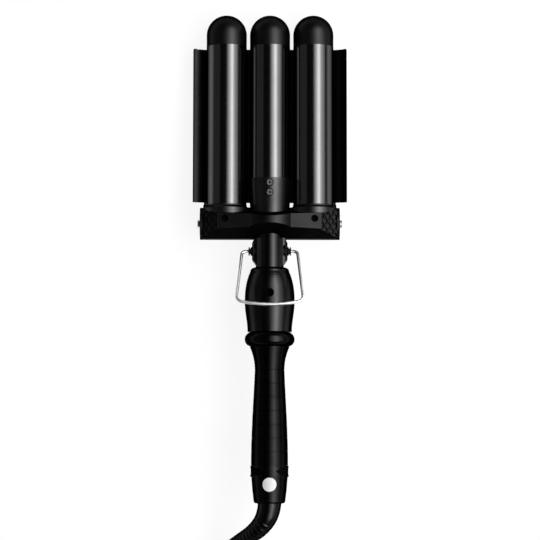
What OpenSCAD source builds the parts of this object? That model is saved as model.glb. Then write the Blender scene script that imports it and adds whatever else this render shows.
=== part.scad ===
// Three-barrel hair waver: a wave-shaped clamp plate closes behind three heated barrels.
// The tool is drawn along +Y in its own straight coordinates: Y = 0 at the cord end of the handle,
// +Y towards the barrel tips, +Z towards the side that carries the fold-out stand.
// lay() then sets it down as it lies on a table, on the plate's far end and the lever's tip.

/* [Barrels] */
// Outer diameter of each heated barrel
barrel_d = 32; // [28:0.5:34]
// Clear gap between neighbouring barrels
barrel_gap = 2.4; // [2:0.1:5]
// Wall of the barrel tube
barrel_wall = 1.8; // [1.4:0.1:2.6]
// Visible length of an outer barrel, from its collar to its tip cap
barrel_len = 126; // [100:1:150]
// Length of the cool-touch tip cap, dome included
tip_len = 25.8; // [22:0.2:34]

/* [Collars] */
// How far the middle collar stands above the outer ones
middle_collar_rise = 20.4; // [16:0.2:28]
// How much wider than the barrel the middle collar is at its top
collar_lip = 0.6; // [0.4:0.1:1.5]
// How much an outer collar flares at its foot
collar_flare = 2.6; // [1:0.2:3.2]

/* [Head] */
// Overall width of the head across the clamp's cheeks
head_w = 110.4; // [108:0.2:124]
// Radius of the rounded back of the head, about the clamp's hinge
head_back_r = 12.7; // [11.5:0.1:13.5]
// Depth of the hinge axis behind the barrels' plane
hinge_depth = 8; // [7:0.2:9]
// Height of the front flats in front of the barrels' plane
face_z = 20.5; // [19.5:0.1:23]
// Half width of the bulge in the middle of the front
bulge_half_w = 16.3; // [13:0.1:18]
// How far the bulge stands out of the flats
bulge_rise = 7; // [3:0.1:8]
// Distance from the middle to where the textured end bevels start
bevel_x = 40.4; // [38.5:0.2:42]
// Slope of the front flats
flat_slope = 6; // [4:0.5:12]
// Slope of the textured end bevels
bevel_slope = 47; // [45:1:54]
// Slope of the head's top, which the collars stand on
top_slope = 19; // [14:0.2:20]
// Slope of the head's underside
under_slope = 22; // [16:0.2:25]
// Pitch of the pyramid texture, groove to groove
stud_pitch = 5.3; // [4:0.1:7]
// Depth of the pyramid texture
stud_depth = 1.3; // [0.6:0.1:1.8]

/* [Clamp] */
// Overall width of the wave plate
plate_w = 122; // [118:0.5:132]
// Thickness of the wave plate
plate_t = 1.8; // [1.4:0.1:2.2]
// Gap between the closed plate and the barrels
plate_gap = 0.4; // [0.3:0.1:1]
// Thickness of the arm's beam and cheeks
arm_t = 2.2; // [1.8:0.1:2.4]
// Width of the thumb lever
lever_w = 21; // [16:0.5:22]
// Thickness of the thumb lever
lever_t = 3.2; // [2.4:0.1:4]
// How far the clamp opens, in degrees
clamp_open = 12; // [8:0.5:12]

/* [Neck and stand] */
// Diameter of the neck
neck_d = 22; // [20:0.5:23]
// Visible length of the neck
neck_len = 23; // [22:0.5:28]
// Half width of the neck across the stand's pads
pad_half_w = 13.95; // [13:0.05:15]
// Diameter of the stand's wire
wire_d = 2.5; // [2:0.1:3]
// Length of the stand from its pivot to its crossbar
stand_len = 47.9; // [46.6:0.1:49]
// Half width of the stand at its shoulders
stand_shoulder = 21.8; // [21:0.1:23]
// Half width of the stand at its feet
stand_foot = 26.6; // [25:0.1:29]

/* [Handle] */
// Length of the belly above the bead
belly_len = 50.5; // [46:0.5:54]
// Diameter of the belly
belly_d = 39.2; // [38:0.2:40]
// Radius of the round bead between belly and grip
bead_r = 5.8; // [5:0.1:6.6]
// Diameter of the bead
bead_d = 39.4; // [37:0.2:42]
// Length of the grip
grip_len = 92.5; // [80:0.5:110]
// Diameter of the grip at its waist
waist_d = 23.2; // [22.6:0.1:26]
// Diameter of the grip at its lower end
grip_end_d = 28.9; // [26:0.1:31]
// Distance between the grip's ring grooves
groove_pitch = 10.6; // [8:0.1:14]
// Length of the decorated end ring
end_ring_len = 9; // [7:0.5:11]
// Diameter of the end ring
end_ring_d = 30.6; // [29.6:0.1:32]
// Length of the end cap
end_cap_len = 20.4; // [19:0.1:24]
// Outer radius of the core tube that carries the grip
core_r = 9.6; // [9:0.1:9.9]
// Wall of the moulded shells
wall = 2.2; // [1.8:0.1:2.6]

/* [Controls] */
// Width of the control panel
panel_w = 17; // [15:0.5:18]
// Length of the control panel
panel_len = 24.5; // [24:0.5:26]
// How far a button stands out of the panel
button_proud = 0.9; // [0.8:0.1:1.5]
// How far a button travels
button_travel = 0.8; // [0.5:0.1:0.8]

/* [Cord] */
// Diameter of the mains lead
cord_d = 7; // [6:0.5:8]
// Diameter of the strain relief at the handle
relief_d = 18.8; // [17:0.2:19.2]
// Turns across and up the coiled lead
coil_turns = 3; // [3:1:3]
// Radius of the coil at the middle of its turns
coil_r = 42; // [40:1:44]

/* [Rest] */
// How far the tool slopes down to its tips as it lies on a table
rest_tilt = 5; // [4:0.25:6]

/* [Hidden] */
$fn = 72;

// Small clearances
seat = 0.1;        // between fixed pieces that fit together
play = 0.3;        // between pieces that move past each other
run = 0.05;        // radial clearance of a running shaft
far = 200;         // reach of a cutting block

// Places along the tool, from the cord end
y_ring = end_cap_len;
y_grip = y_ring + end_ring_len;
y_bead = y_grip + grip_len;
y_belly = y_bead + 2 * bead_r;
y_neck = y_belly + belly_len;
y_head = y_neck + neck_len;
y_hinge = y_head + head_back_r;
y_top = y_hinge + 12.2;               // top of the head in the barrels' plane
y_seat = y_top + seat / 2;            // the collars' seat there
y_foot = y_top + 1.6;                 // foot of the visible outer barrels
y_foot_mid = y_foot + middle_collar_rise;
y_tip = y_foot + barrel_len;          // joint between barrel and tip cap
y_end = y_tip + tip_len;

// Barrels
barrel_r = barrel_d / 2;
pitch = barrel_d + barrel_gap;
bore_r = barrel_r - barrel_wall;
plug_r = bore_r - seat;               // plugs of tip caps and collars inside the barrel
tip_plug_len = 8;
collar_plug_len = 10;
spigot_r = 13;                        // the collar's spigot in the head
spigot_len = 6;
collar_bore_r = 11;

// Head
z_hinge = -hinge_depth;
head_half = head_w / 2 - arm_t - play;
shelf_z = -9;                         // where the sloping top ends at the back
back_z = -barrel_r;                   // flat back behind the barrels
split_z = -2;                         // parting plane of the two shells
under_y = y_head - 1.05;              // the underside's slope, carried on to the barrels' plane
base_r = 6;                           // round edge under the head
stud_shift = 1;                       // sets the rows of pyramids along the head
screw_x = min(head_half - 17.7, bevel_x - 5.4);   // shell screws, inside the springs and the bevels
room_half = head_half - 13.8;         // room for the wires in the head
screw_y = y_hinge + 1.5;
boss_r = 4.4;
screw_seat_z = 12;                    // floor of the screw holes in the flats

// Clamp
trough_r = barrel_r + plate_gap + plate_t / 2;    // middle of the plate under a barrel
ridge_r = 3;                                      // middle of the plate between the barrels
ridge_a = asin((pitch / 2) / (trough_r + ridge_r));
ridge_z = -(trough_r + ridge_r) * cos(ridge_a);
relief_z = ridge_z + ridge_r + plate_t;           // the plate stays below this height
wing_a = 50;                          // where the wing leaves the outer barrel
wing_bend_r = 9;
y_plate = y_foot + 3.2;               // lower edge of the plate
plate_len = y_tip - y_plate;
plate_back = barrel_r + plate_gap + plate_t;
beam_in = head_back_r + 0.5;
beam_out = beam_in + arm_t + 0.8;
arm_back = plate_back + 4.6;          // back face of the arm behind the plate
cheek_in = head_w / 2 - arm_t;
hinge_pin_r = 2;
hinge_pin_in = 8;                     // how far the hinge screws reach into the head
bush_r = 3;
beam_from = -135;                     // the beam's stretch round the head's back
beam_to = -45;
tab_from = -150;                      // its wider stretch, where the lever's tab leaves it
tab_half = 11;
cradle_lip = 1.4;                     // the cradle starts this far above the plate's edge
cradle_len = 18.6;
spine_len = 56.6;
spine_w = 26;
cradle_top = -14;
window_half = 4;                      // half width of the windows behind the barrels' gaps

// Handle
belly_r = belly_d / 2;
bead_out = bead_d / 2;
belly_foot_r = 17.4;
shoulder_r = 3.2;
y_widest = y_belly + 23.5;
y_shoulder = y_neck - shoulder_r;
shoulder_out = 15.4;
core_bore = core_r - 2;
neck_r = neck_d / 2;
neck_flange_y = y_neck - wall - 3;
cap_tip_r = 12.4;
cap_round = 2;
cap_top_r = 14.2;
mouth_r = relief_d / 2 + 0.4;
y_handle_screw = y_belly + 29.8;

// Stand
y_pivot = y_head - 10;
wire_r = wire_d / 2;
stand_z = belly_r + wire_r + play;    // height of the crossbar where it rests on the belly
stand_rest = asin(stand_z / stand_len);
bush_len = 2.8;
bush_out_r = 3.35;

// Controls
panel_z = belly_r + 0.5;
panel_back = panel_z - 4.6;
board_z = panel_back - 1.9;
board_t = 1.6;
y_panel = y_belly + 15;
y_window = y_panel + 6.4;
y_pair = y_panel - 1.2;
y_power = y_panel - 7.7;
y_peg = y_panel - 9.8;
pair_x = 4.3;
small_button_r = 2.4;
power_button_r = 2.8;

// Rest: the plate's far edge and the lever's round tip touch the table
lift = y_tip * sin(rest_tilt) + plate_back * cos(rest_tilt);
y_lever_tip = y_neck - 9;
lever_r = lever_t / 2;
z_lever_tip = (lever_r - lift + y_lever_tip * sin(rest_tilt)) / cos(rest_tilt);
y_high = (y_end - barrel_r) * cos(rest_tilt) + barrel_r;
y_low = cap_round * cos(rest_tilt) - (cap_tip_r - cap_round) * sin(rest_tilt) - cap_round;
y_centre = (y_high + y_low) / 2;

// Lead: points of its route on the table, in world coordinates
relief_route = [
    [0, -188.4, 49.3], [0, -192, 49.6], [-0.6, -196.5, 49.7], [-2.3, -201.7, 49], [-4.8, -206.6, 47.4],
    [-8, -210.8, 44.8], [-11.4, -214.2, 41.7], [-15, -217.2, 38], [-18.9, -219.9, 34.2],
    [-23, -222.7, 30.4], [-27, -225.4, 26.8], [-31, -228.1, 23.4]];
cord_route = [
    [-31, -228.1, 23.4], [-35, -231, 20.2], [-39, -234.4, 16.8], [-43, -238.4, 13.4], [-46.8, -243.2, 10],
    [-50.2, -249, 7.3], [-53, -256, 5.4], [-55.2, -264.4, 4.6], [-56.5, -273.6, 4.4], [-57, -283, 4.4]];
coil_x = -8;
coil_y = -283;
tie_t = 0.8;
coil_half = coil_turns * cord_d / 2;
coil_base = tie_t + seat;
tail_route = [
    [-0.7, -324.4, 18.4], [6.4, -322.5, 19.6], [13, -319.4, 22.4], [19, -315.2, 25.2], [25, -309, 25.7],
    [30, -300.5, 25.7], [33.4, -291.5, 25.8], [35.4, -282, 26.1], [36, -272.6, 26.7], [34.4, -263.6, 27.3],
    [30, -256, 27.9], [23, -251.4, 28.6], [15, -250, 29], [8, -250, 29.1]];
plug_x = 8;
plug_y = -250;
plug_z = 29.1;
plug_w = 35.3;
plug_t = 13.7;
plug_len = 36;
pin_r = 2;
pin_root_r = 2.4;                     // the pin's foot inside the plug
pin_root = 8;
pin_len = 19;
pin_gap = 18.6;

black = [0.06, 0.06, 0.065];
gloss_black = [0.03, 0.03, 0.035];
soft_black = [0.09, 0.09, 0.095];
steel = [0.78, 0.79, 0.8];
aluminium = [0.66, 0.67, 0.68];

// ---------------------------------------------------------------- helpers

// Sets the tool down on the table
module lay() {
    translate([0, -y_centre, lift]) rotate([-rest_tilt, 0, 0]) children();
}

// Turns a shape drawn up +Z so that it runs along +Y
module along_y() { rotate([-90, 0, 0]) children(); }

// Turns a shape drawn up +Z so that it runs along +X
module along_x() { rotate([0, 90, 0]) children(); }

// Both sides of the tool
module both_sides() {
    children();
    mirror([1, 0, 0]) children();
}

// Solid of revolution about the tool's axis, from points [radius, y]
module turned(points) { along_y() rotate_extrude() polygon(points); }

// Round bar along Y between two places
module rod_y(r, y0, y1) { translate([0, y0, 0]) along_y() cylinder(r = r, h = y1 - y0); }

// Round bar along X between two places
module rod_x(r, x0, x1) { translate([x0, 0, 0]) along_x() cylinder(r = r, h = x1 - x0); }

// Round bar along Z between two places
module rod_z(r, z0, z1) { translate([0, 0, z0]) cylinder(r = r, h = z1 - z0); }

// Prism across the tool, from an outline in [y, z]
module side_prism(half_w) {
    translate([-half_w, 0, 0]) rotate([90, 0, 90]) linear_extrude(2 * half_w) children();
}

// Prism along the tool, from an outline in [x, z]
module plan_prism(y0, y1) {
    translate([0, y1, 0]) rotate([90, 0, 0]) linear_extrude(y1 - y0) children();
}

// Block between two corners
module block(a, b) { translate(a) cube(b - a); }

// Rectangle with round corners, about the origin
module round_rect(w, h, r) {
    square([w - 2 * r, h], center = true);
    square([w, h - 2 * r], center = true);
    for (x = [-1, 1], y = [-1, 1])
        translate([x * (w / 2 - r), y * (h / 2 - r)]) circle(r);
}

// Part of a ring about the origin, between two angles
module ring_sector(r0, r1, a0, a1) {
    intersection() {
        difference() {
            circle(r1);
            circle(r0);
        }
        polygon([[0, 0], for (i = [0:4]) let (a = a0 + (a1 - a0) * i / 4) 2 * r1 * [cos(a), sin(a)]]);
    }
}

// Smooth step from 0 to 1
function ease(t) = (1 - cos(180 * t)) / 2;

// Points [radius, y] of a quarter round from angle a0 to a1
function arc(c, r, a0, a1, n = 8) =
    [for (i = [0:n]) let (a = a0 + (a1 - a0) * i / n) c + r * [cos(a), sin(a)]];

function unit(v) = v / norm(v);

// Direction of a route at point i
function heading(p, i) = unit(p[min(i + 1, len(p) - 1)] - p[max(i - 1, 0)]);

// Tube with a radius for each of its route's points
module tube(p, radii, sides) {
    n = len(p);
    side_0 = unit(cross(heading(p, 0), [0.3, 0.2, 1]));
    // the frame is carried along so that the tube doesn't twist
    frames = [for (i = 0, s = side_0; i < n;
        i = i + 1, s = i < n ? unit(s - (s * heading(p, i)) * heading(p, i)) : s) s];
    points = [for (i = [0:n - 1], k = [0:sides - 1]) let (a = 360 * k / sides)
        p[i] + radii[i] * (cos(a) * frames[i] + sin(a) * cross(heading(p, i), frames[i]))];
    walls = [for (i = [0:n - 2], k = [0:sides - 1])
        let (j = (k + 1) % sides)
        [i * sides + j, i * sides + k, (i + 1) * sides + k, (i + 1) * sides + j]];
    polyhedron(concat(points), concat(walls,
        [[for (k = [0:sides - 1]) k]], [[for (k = [sides - 1:-1:0]) (n - 1) * sides + k]]), convexity = 6);
}

// Axis of a barrel: -1 left, 0 middle, 1 right
module at_barrel(side) { translate([side * pitch, 0, 0]) children(); }

// ---------------------------------------------------------------- barrels

module barrel(side) {
    foot = side == 0 ? y_foot_mid : y_foot;
    at_barrel(side) difference() {
        rod_y(barrel_r, foot, y_tip);
        rod_y(bore_r, foot - 1, y_tip + 1);
    }
}

module tip(side) {
    straight = tip_len - barrel_r;
    at_barrel(side) turned(concat(
        [[plug_r - 2.4, y_tip - tip_plug_len], [plug_r, y_tip - tip_plug_len], [plug_r, y_tip],
            [barrel_r - seat, y_tip]],
        arc([0, y_tip + straight], barrel_r - seat / 2, 0, 90, 16),
        arc([0, y_tip + straight], plug_r - 2.4, 90, 0, 8)));
}

// Heating element: a flat ceramic heater between two shoes that press on the barrel's wall
module heater(side) {
    shoe_r = bore_r - seat;
    shoe_t = 1.6;
    slab = [20, 4];
    rib = 2;
    rib_x = 5;
    shoe_from = 40;
    shoe_to = 140;
    from = (side == 0 ? y_foot_mid : y_foot) + collar_plug_len + 1;
    at_barrel(side) plan_prism(from, y_tip - tip_plug_len - 2) {
        square(slab, center = true);
        for (turn = [0, 180]) rotate(turn) {
            ring_sector(shoe_r - shoe_t, shoe_r, shoe_from, shoe_to);
            for (x = [-1, 1]) translate([x * rib_x - rib / 2, 0]) square([rib, shoe_r - shoe_t]);
        }
    }
}

// ---------------------------------------------------------------- collars

// Everything below the collars' seat on the head
module below_seat() {
    side_prism(far) polygon([
        [y_top - far, far], [y_seat - tan(top_slope) * far, far], [y_seat, 0], [y_seat, -far],
        [y_top - far, -far]]);
}

// Sleeve that carries a barrel: its foot is cut to the slope of the head's top
module collar(side) {
    top = side == 0 ? y_foot_mid : y_foot;
    top_r = side == 0 ? barrel_r + collar_lip : barrel_r + 0.2;
    foot_r = side == 0 ? barrel_r - 0.4 : barrel_r + collar_flare;
    low = y_top - spigot_len;
    difference() {
        union() {
            difference() {
                at_barrel(side) turned([
                    [0, low], [foot_r, low], [foot_r, y_top - 1.5], [top_r, side == 0 ? top : y_top + 0.6],
                    [top_r, top], [0, top]]);
                below_seat();
            }
            at_barrel(side) {
                rod_y(spigot_r, low, top);
                rod_y(plug_r, top - 1, top + collar_plug_len);
            }
        }
        at_barrel(side) rod_y(collar_bore_r, low - 1, top + collar_plug_len + 1);
        if (side == 0) {
            collar_screw_holes(1.25);
            plate_relief();
        }
    }
}

// Back of the middle collar, cut down where the wave plate closes on it
module plate_relief() {
    difference() {
        block([-far, y_foot, -far], [far, y_end, relief_z]);
        rod_y(barrel_r + plate_gap - play, 0, y_end + 1);
    }
}

module collar_screw_holes(r) {
    for (y = [y_foot_mid - 4.2, y_foot_mid - 12]) translate([0, y, 0]) rod_z(r, barrel_r - 3.4, barrel_r + 4);
}

// Two pan-head screws with a cross recess
module collar_screws() {
    color(soft_black) lay() for (y = [y_foot_mid - 4.2, y_foot_mid - 12])
        translate([0, y, barrel_r + collar_lip - 0.1]) difference() {
            union() {
                rod_z(2.9, 0, 1.3);
                rod_z(1.2, -2.6, 0.5);
            }
            for (turn = [0, 90]) rotate(turn) block([-1.9, -0.35, 0.6], [1.9, 0.35, 2]);
        }
}

// ---------------------------------------------------------------- head

// Outline across the tool, in [x, z]: bulge, flats and end bevels
module head_plan() {
    flat_end_z = face_z - (bevel_x - bulge_half_w) * tan(flat_slope);
    bevel_end_z = flat_end_z - (head_half - bevel_x) * tan(bevel_slope);
    bulge_r = (pow(bulge_half_w, 2) + pow(bulge_rise, 2)) / (2 * bulge_rise);
    bulge_a = asin(bulge_half_w / bulge_r);
    polygon(concat(
        [[-head_half, -far], [-head_half, bevel_end_z], [-bevel_x, flat_end_z]],
        arc([0, face_z + bulge_rise - bulge_r], bulge_r, 90 + bulge_a, 90 - bulge_a, 20),
        [[bevel_x, flat_end_z], [head_half, bevel_end_z], [head_half, -far]]));
}

// Outline from the side, in [y, z]: a wedge with a round back about the hinge
module head_side() {
    reach_z = 34;
    base_y = y_head + base_r * (1 - cos(under_slope));
    base_z = (base_y - under_y) / tan(under_slope) - base_r * sin(under_slope);
    polygon([
        [y_top - reach_z * tan(top_slope), reach_z], [y_top - shelf_z * tan(top_slope), shelf_z],
        [y_top - shelf_z * tan(top_slope), back_z], [y_hinge + 6, back_z], [y_hinge, z_hinge],
        [y_head, z_hinge], [y_head, base_z],
        [base_y, base_z + base_r * sin(under_slope)],
        [under_y + reach_z * tan(under_slope), reach_z]]);
    translate([y_hinge, z_hinge]) circle(head_back_r);
    translate([y_head + base_r, base_z]) circle(base_r);
}

// V grooves across the end bevels leave rows of pyramids
module pyramid_grooves() {
    flat_end_z = face_z - (bevel_x - bulge_half_w) * tan(flat_slope);
    groove_half = stud_pitch / 2;
    bevel_len = (head_half - bevel_x) / cos(bevel_slope);
    both_sides() translate([bevel_x, y_hinge + stud_shift, flat_end_z]) rotate([0, bevel_slope, 0])
        intersection() {
            for (turn = [45, 135], i = [-5:5])
                translate([bevel_len / 2, 0, 0]) rotate(turn) translate([i * stud_pitch, -far / 8, 0])
                    rotate([-90, 0, 0]) linear_extrude(far / 4)
                        polygon([[-groove_half, -0.05], [groove_half, -0.05], [0, stud_depth]]);
            block([0.8, -far / 8, -stud_depth - 1], [bevel_len + 2, far / 8, 1]);
        }
}

// The closed form of the head with its bores
module head_form() {
    difference() {
        union() {
            difference() {
                intersection() {
                    side_prism(head_half) head_side();
                    plan_prism(y_head - 1, y_top + 6) head_plan();
                }
                // room for the wires
                block([-room_half, y_head + 6, z_hinge], [room_half, y_top - spigot_len + 0.4, 9]);
            }
            // bosses for the two shell screws
            both_sides() translate([screw_x, screw_y, 0]) rod_z(boss_r, z_hinge - 8, 13);
        }
        for (side = [-1:1]) at_barrel(side) rod_y(spigot_r + seat, y_top - spigot_len - seat, y_end);
        // the back is cut low between the outer barrels and round their collars' feet
        block([-pitch, y_top, -far], [pitch, y_end, far]);
        both_sides() at_barrel(1) rod_y(barrel_r + collar_flare + seat, y_top, y_end);
        rod_y(neck_r + seat, y_head - 2, y_head + 9.2);
        pyramid_grooves();
        both_sides() translate([screw_x, screw_y, 0]) {
            rod_z(2.8, screw_seat_z, far);
            rod_z(1.6, z_hinge - 0.2, far);
        }
        both_sides() translate([0, y_hinge, z_hinge])
            rod_x(hinge_pin_r + run, head_half - hinge_pin_in - 1, head_half + 1);
    }
}

module head_front_shell() {
    color(black) lay() difference() {
        head_form();
        block([-far, 0, -far], [far, far * 2, split_z + seat / 2]);
    }
}

module head_rear_shell() {
    color(black) lay() difference() {
        intersection() {
            head_form();
            block([-far, 0, -far], [far, far * 2, split_z - seat / 2]);
        }
        both_sides() translate([0, y_hinge, z_hinge]) spring_pocket();
    }
}

module head_screws() {
    color(steel) lay() both_sides() translate([screw_x, screw_y, 0]) {
        rod_z(2.6, screw_seat_z + 0.05, screw_seat_z + 1.6);
        rod_z(1.5, z_hinge, screw_seat_z + 0.1);
    }
}

// Shoulder screws on which the clamp turns
module hinge_screws() {
    color(steel) lay() both_sides() translate([0, y_hinge, z_hinge]) difference() {
        union() {
            rod_x(hinge_pin_r, head_half - hinge_pin_in, head_w / 2 + 0.6);
            rod_x(3.15, head_w / 2 + 0.15, head_w / 2 + 2);
        }
        for (turn = [0, 90]) rotate([turn, 0, 0])
            block([head_w / 2 + 1.2, -2, -0.35], [head_w / 2 + 3, 2, 0.35]);
    }
}

spring_r = 4.6;
spring_wire_r = 0.6;
spring_turns = 4;
spring_rise = 1.5;                    // from turn to turn
spring_x = head_half - 11.1;          // middle of the spring
spring_half = spring_turns * spring_rise / 2;
module spring_pocket() {
    half = spring_half + spring_wire_r + seat;
    rod_x(spring_r + spring_wire_r + seat, spring_x - half, spring_x + half);
}

// Torsion springs in pockets beside the hinge screws
module clamp_springs() {
    steps = 14;
    wind = [for (i = [0:spring_turns * steps]) let (a = 360 * i / steps)
        [spring_x - spring_half + spring_rise * i / steps, spring_r * cos(a), spring_r * sin(a)]];
    color(steel) lay() both_sides() translate([0, y_hinge, z_hinge])
        tube(wind, [for (p = wind) spring_wire_r], 6);
}

// ---------------------------------------------------------------- clamp

// Middle line of one half of the wave plate, in [x, z]: trough, ridge, trough and wing
wing_slope = 18;
edge_lip = 2;                         // turned-up outer edge
wing_start = [pitch, 0] + trough_r * [sin(wing_a), -cos(wing_a)];
bend_c = wing_start + wing_bend_r * [sin(wing_a), -cos(wing_a)];
wing_flat = bend_c + wing_bend_r * [-sin(wing_slope), cos(wing_slope)];
wing_dir = [cos(wing_slope), sin(wing_slope)];
wing_end = wing_flat + wing_dir * (plate_w / 2 - plate_t - wing_flat[0]) / wing_dir[0];
plate_line = concat(
    arc([0, 0], trough_r, -90, -90 + ridge_a, 14),
    arc([pitch / 2, ridge_z], ridge_r, 90 + ridge_a - 8, 90 - ridge_a + 8, 14),
    arc([pitch, 0], trough_r, -90 - ridge_a, -90 + wing_a, 26),
    arc(bend_c, wing_bend_r, 90 + wing_a - 4, 90 + wing_slope, 8), [wing_end]);

// Section of the wave plate, in [x, z]
module plate_section() {
    last = len(plate_line) - 1;
    half_t = plate_t / 2;
    along = [for (i = [0:last])
        i == 0 ? [1, 0] : i == last ? wing_dir : unit(plate_line[i + 1] - plate_line[i - 1])];
    up = [for (d = along) [-d[1], d[0]]];
    lip_in = plate_line[last] + up[last] * (half_t + edge_lip);
    below = [for (i = [0:last]) plate_line[i] - up[i] * half_t];
    above = [for (i = [last:-1:0]) plate_line[i] + up[i] * half_t];
    right = concat(below,
        [below[last] + wing_dir * plate_t, lip_in + wing_dir * plate_t, lip_in], above);
    polygon(concat(right, [for (i = [len(right) - 2:-1:1]) [-right[i][0], right[i][1]]]));
}

module clamp_plate() {
    color(gloss_black) lay() difference() {
        plan_prism(y_plate, y_tip) plate_section();
        plate_screw_holes(1.6);
    }
}

// Places of the screws that hold the plate to its arm
plate_screws = [y_plate + 12, y_plate + 50];
module plate_screw_holes(r) {
    for (y = plate_screws) translate([0, y, 0]) rod_z(r, -plate_back - 8, -barrel_r + 1);
}

// Cradle behind the plate, beam round the back of the head, and a cheek at each end
module clamp_arm() {
    y_cradle = y_plate + cradle_lip;
    color(black) lay() difference() {
        union() {
            difference() {
                union() {
                    block([-head_half, y_cradle, -arm_back],
                        [head_half, y_cradle + cradle_len, cradle_top]);
                    block([-spine_w / 2, y_cradle, -arm_back],
                        [spine_w / 2, y_cradle + spine_len, cradle_top]);
                }
                for (side = [-1:1]) at_barrel(side) rod_y(plate_back + seat, 0, y_end);
            }
            difference() {
                block([-head_half, y_hinge + 6, -arm_back], [head_half, y_plate + 6, -plate_back - 1]);
                // windows behind the gaps between the barrels
                both_sides() block([pitch / 2 - window_half, y_hinge + beam_out * cos(beam_to) + play, -far],
                    [pitch / 2 + window_half, y_cradle, 0]);
            }
            translate([0, y_hinge, z_hinge]) {
                side_prism(head_w / 2) ring_sector(beam_in, beam_out, beam_from, beam_to);
                side_prism(tab_half) ring_sector(beam_in, beam_out, tab_from, beam_to);
                both_sides() {
                    rod_x(head_back_r, cheek_in, head_w / 2);
                    translate([cheek_in, 0, 0]) rotate([90, 0, 90])
                        linear_extrude(arm_t) ring_sector(0.01, beam_out, beam_from, beam_to);
                }
            }
            lever_stub();
        }
        plate_screw_holes(1.3);
        translate([0, y_hinge, z_hinge]) both_sides() rod_x(bush_r + 0.02, cheek_in - 1, head_w / 2 + 1);
        lever_screw_holes(1.3);
    }
}

// Middle line of the thumb lever, in [y, z]
lever_knee = [y_lever_tip + 16, z_lever_tip + 7.6];
stub_t = 2.3;
stub_half = 8;
stub_len = 15.4;
stub_in = 2.1;                        // how far the tab's root reaches back into the beam
stub_a = -130;                        // where the lever's tab leaves the beam
stub_root = [y_hinge, z_hinge] + (beam_in + beam_out) / 2 * [cos(stub_a), sin(stub_a)];
stub_dir = unit(lever_knee - stub_root);
stub_gap = (lever_t + stub_t) / 2 + seat;
lever_root = stub_root + stub_dir * 1.2 + [-stub_dir[1], stub_dir[0]] * stub_gap;
lever_tip = [y_lever_tip, z_lever_tip];
lever_line = [for (i = [0:14]) let (t = i / 14)
    pow(1 - t, 2) * lever_root + 2 * t * (1 - t) * lever_knee + t * t * lever_tip];

// Strip of even thickness along a line in [y, z]
module strip(line, t) {
    n = len(line);
    side = [for (i = [0:n - 1])
        let (d = unit(line[min(i + 1, n - 1)] - line[max(i - 1, 0)])) [-d[1], d[0]]];
    polygon(concat(
        [for (i = [0:n - 1]) line[i] + side[i] * t / 2],
        [for (i = [n - 1:-1:0]) line[i] - side[i] * t / 2]));
}

lever_dir = unit(lever_line[3] - lever_line[0]);
lever_screws = [5, 11];
lever_head_r = 2.4;
lever_head_z = 0.4 - lever_r;         // floor of the seats under the screws' heads

// Tab on the arm that the lever is screwed to, on the handle's side of the lever
module lever_stub() {
    start = lever_root - lever_dir * stub_in - [-lever_dir[1], lever_dir[0]] * stub_gap;
    side_prism(stub_half) strip([start, start + lever_dir * stub_len], stub_t);
}

// Places of the lever's screws, drawn up +Z from the lever's middle line into the tab
module at_lever_screws() {
    for (u = lever_screws) {
        p = lever_root + lever_dir * u;
        translate([0, p[0], p[1]]) rotate([atan2(lever_dir[1], lever_dir[0]) - 180, 0, 0]) children();
    }
}

module lever_screw_holes(r) { at_lever_screws() rod_z(r, -6, 6); }

module thumb_lever() {
    lever_len = lever_root[0] - y_lever_tip + lever_r;
    color(black) lay() difference() {
        union() {
            intersection() {
                side_prism(lever_w / 2) {
                    strip(lever_line, lever_t);
                    translate(lever_tip) circle(lever_r);
                }
                translate([0, y_lever_tip - lever_r + lever_len / 2, -far / 2])
                    linear_extrude(far) round_rect(lever_w, lever_len, 4);
            }
            // thumb ribs
            for (i = [7:11]) let (p = lever_line[i]) translate([0, p[0], p[1] - lever_r])
                rod_x(0.7, -lever_w / 2 + 3, lever_w / 2 - 3);
        }
        lever_screw_holes(1.5);
        at_lever_screws() rod_z(lever_head_r + seat, -6, lever_head_z);
    }
}

// Screws of the plate and of the lever
module clamp_screws() {
    color(steel) lay() {
        for (y = plate_screws) translate([0, y, -arm_back]) {
            rod_z(1.25, -0.5, arm_back - barrel_r - plate_gap - 0.4);
            rod_z(2.6, -1.2, -0.02);
        }
        at_lever_screws() {
            rod_z(1.25, lever_head_z - 0.5, lever_r + 2.2);
            rod_z(lever_head_r, lever_head_z - 1.1, lever_head_z - 0.02);
        }
    }
}

// Bushes pressed into the arm's cheeks
module hinge_bushes() {
    color("goldenrod") lay() both_sides() translate([0, y_hinge, z_hinge]) difference() {
        rod_x(bush_r, cheek_in - 0.1, head_w / 2 + 0.05);
        rod_x(hinge_pin_r + run, cheek_in - 1, head_w / 2 + 1);
    }
}

// ---------------------------------------------------------------- neck and stand

// Tube between head and handle, with a cheek on each side that carries the stand's pivot
module neck() {
    color(black) lay() difference() {
        union() {
            rod_y(neck_r, neck_flange_y - 2, y_head + 9);
            rod_y(neck_r + 2.2, neck_flange_y - 2, neck_flange_y + 1);
            neck_cheeks();
        }
        rod_y(neck_r - 3.4, 0, y_end);
        translate([0, y_pivot, 0]) {
            rod_x(wire_r + run, -far, far);
            both_sides() {
                rod_x(4.6, pad_half_w - 0.6, far);
                cheek_groove();
            }
        }
    }
}

// Both cheeks: rounded in section, and drawn in towards the head and the handle
module neck_cheeks() {
    half_z = 8.2;
    intersection() {
        plan_prism(y_neck, y_head - seat) round_rect(2 * pad_half_w, 2 * half_z, 4);
        translate([0, 0, -far / 2]) linear_extrude(far) both_sides() polygon([
            [0, y_head], [pad_half_w - 2, y_head], [pad_half_w - 1.4, y_head - 1.4], [pad_half_w, y_head - 4],
            [pad_half_w, y_pivot - 6.6], [neck_r - 1.6, y_neck], [0, y_neck]]);
    }
}

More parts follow.
